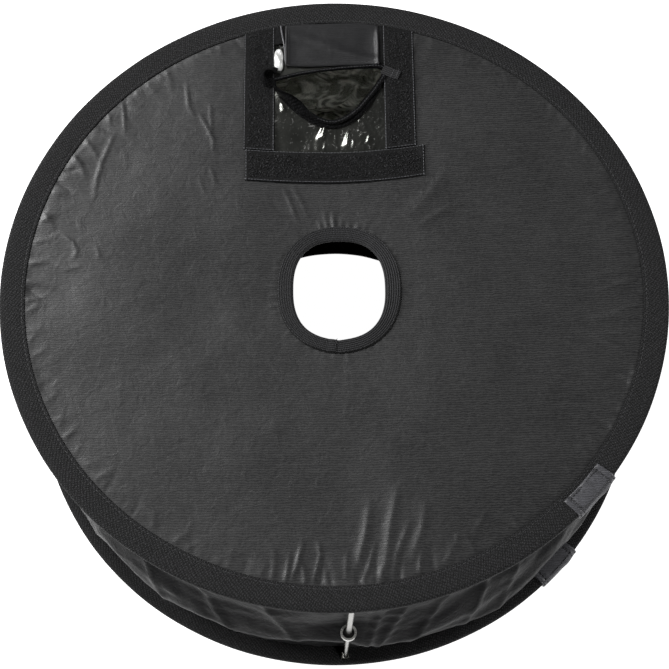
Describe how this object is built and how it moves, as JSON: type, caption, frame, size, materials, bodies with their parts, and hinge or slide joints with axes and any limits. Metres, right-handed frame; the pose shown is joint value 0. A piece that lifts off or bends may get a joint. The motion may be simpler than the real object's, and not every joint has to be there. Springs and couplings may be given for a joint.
{
  "type": "collapsible ring softbox",
  "caption": "Round collapsible softbox for a camera flash: black drum on two sprung hoops, white front, lens tunnel through the middle and an elastic flash mouth in the back.",
  "frame": {"origin": "on the drum's axis, in the plane of the front rim that it stands on", "axes": "+Z along the drum's axis from the white front to the black back panel, +Y towards the flash mouth, +X to the right of someone who looks at the back with the mouth at the top"},
  "size_m": [0.45, 0.45, 0.1663],
  "materials": {
    "coated_nylon": "satin",
    "binding_tape": "matte",
    "ribbed_elastic": "matte",
    "loop_tape": "matte",
    "silver_cloth": "gloss",
    "white_nylon": "matte",
    "spring_steel": "satin",
    "plated_steel": "polished",
    "magnet": "polished"
  },
  "bodies": {
    "front_frame": {"front_hoop": "spring_steel", "front_hoop_ferrule": "spring_steel", "front_binding": "binding_tape", "front_joint_cover": "coated_nylon", "front_diffuser": "white_nylon", "front_hole_binding": "binding_tape", "side_wall": "coated_nylon", "side_wall_lining": "silver_cloth", "lens_tunnel": "coated_nylon", "lens_tunnel_lining": "silver_cloth", "lower_rod_saddles": "plated_steel", "lower_saddle_pins": "plated_steel"},
    "back_frame": {"back_hoop": "spring_steel", "back_hoop_ferrule": "spring_steel", "back_binding": "binding_tape", "back_joint_cover": "coated_nylon", "back_panel": "coated_nylon", "back_lining": "silver_cloth", "lens_elastic": "ribbed_elastic", "loop_strip_left": "loop_tape", "loop_strip_right": "loop_tape", "loop_strip_bottom": "loop_tape", "slot_panel": "silver_cloth", "mouth_elastic": "ribbed_elastic", "slot_gusset_left": "silver_cloth", "slot_gusset_right": "silver_cloth", "mouth_tab_left": "ribbed_elastic", "mouth_tab_right": "ribbed_elastic", "upper_rod_saddles": "plated_steel", "upper_saddle_pins": "plated_steel"},
    "flash_flap": {"slot_flap": "coated_nylon"},
    "upper_strut_1": {"upper_rod_1": "plated_steel"},
    "lower_strut_1": {"lower_rod_1": "plated_steel", "magnet_cup_1": "plated_steel", "magnet_1": "magnet"},
    "upper_strut_2": {"upper_rod_2": "plated_steel"},
    "lower_strut_2": {"lower_rod_2": "plated_steel", "magnet_cup_2": "plated_steel", "magnet_2": "magnet"},
    "upper_strut_3": {"upper_rod_3": "plated_steel"},
    "lower_strut_3": {"lower_rod_3": "plated_steel", "magnet_cup_3": "plated_steel", "magnet_3": "magnet"},
    "upper_strut_4": {"upper_rod_4": "plated_steel"},
    "lower_strut_4": {"lower_rod_4": "plated_steel", "magnet_cup_4": "plated_steel", "magnet_4": "magnet"}
  },
  "joints": [
    {"name": "collapse", "type": "slide", "parent": "front_frame", "child": "back_frame", "axis": [0, 0, 1], "range_m": [-0.138, 0], "deforming": ["side_wall", "side_wall_lining", "lens_tunnel", "lens_tunnel_lining"]},
    {"name": "flap_lift", "type": "hinge", "parent": "back_frame", "child": "flash_flap", "pos_m": [0.0003, 0.20474, 0.16397], "axis": [-1, 0, 0], "range_deg": [0, 100]},
    {"name": "upper_strut_1_fold", "type": "hinge", "parent": "back_frame", "child": "upper_strut_1", "pos_m": [0.00932, -0.21931, 0.1559], "axis": [0.0332, -0.9995, 0], "range_deg": [0, 88.5]},
    {"name": "lower_strut_1_fold", "type": "hinge", "parent": "front_frame", "child": "lower_strut_1", "pos_m": [0.00524, -0.21945, 0.0097], "axis": [0.0332, -0.9995, 0], "range_deg": [0, 88.5]},
    {"name": "upper_strut_2_fold", "type": "hinge", "parent": "back_frame", "child": "upper_strut_2", "pos_m": [0.21931, 0.00932, 0.1559], "axis": [0.9995, 0.0332, 0], "range_deg": [0, 88.5]},
    {"name": "lower_strut_2_fold", "type": "hinge", "parent": "front_frame", "child": "lower_strut_2", "pos_m": [0.21945, 0.00524, 0.0097], "axis": [0.9995, 0.0332, 0], "range_deg": [0, 88.5]},
    {"name": "upper_strut_3_fold", "type": "hinge", "parent": "back_frame", "child": "upper_strut_3", "pos_m": [-0.00932, 0.21931, 0.1559], "axis": [-0.0332, 0.9995, 0], "range_deg": [0, 88.5]},
    {"name": "lower_strut_3_fold", "type": "hinge", "parent": "front_frame", "child": "lower_strut_3", "pos_m": [-0.00524, 0.21945, 0.0097], "axis": [-0.0332, 0.9995, 0], "range_deg": [0, 88.5]},
    {"name": "upper_strut_4_fold", "type": "hinge", "parent": "back_frame", "child": "upper_strut_4", "pos_m": [-0.21931, -0.00932, 0.1559], "axis": [-0.9995, -0.0332, 0], "range_deg": [0, 88.5]},
    {"name": "lower_strut_4_fold", "type": "hinge", "parent": "front_frame", "child": "lower_strut_4", "pos_m": [-0.21945, -0.00524, 0.0097], "axis": [-0.9995, -0.0332, 0], "range_deg": [0, 88.5]}
  ],
  "couplings": [
    {"joint": "upper_strut_1_fold", "follows": "collapse", "rad_per_m": -11.13},
    {"joint": "lower_strut_1_fold", "follows": "collapse", "rad_per_m": -11.13},
    {"joint": "upper_strut_2_fold", "follows": "collapse", "rad_per_m": -11.13},
    {"joint": "lower_strut_2_fold", "follows": "collapse", "rad_per_m": -11.13},
    {"joint": "upper_strut_3_fold", "follows": "collapse", "rad_per_m": -11.13},
    {"joint": "lower_strut_3_fold", "follows": "collapse", "rad_per_m": -11.13},
    {"joint": "upper_strut_4_fold", "follows": "collapse", "rad_per_m": -11.13},
    {"joint": "lower_strut_4_fold", "follows": "collapse", "rad_per_m": -11.13}
  ]
}
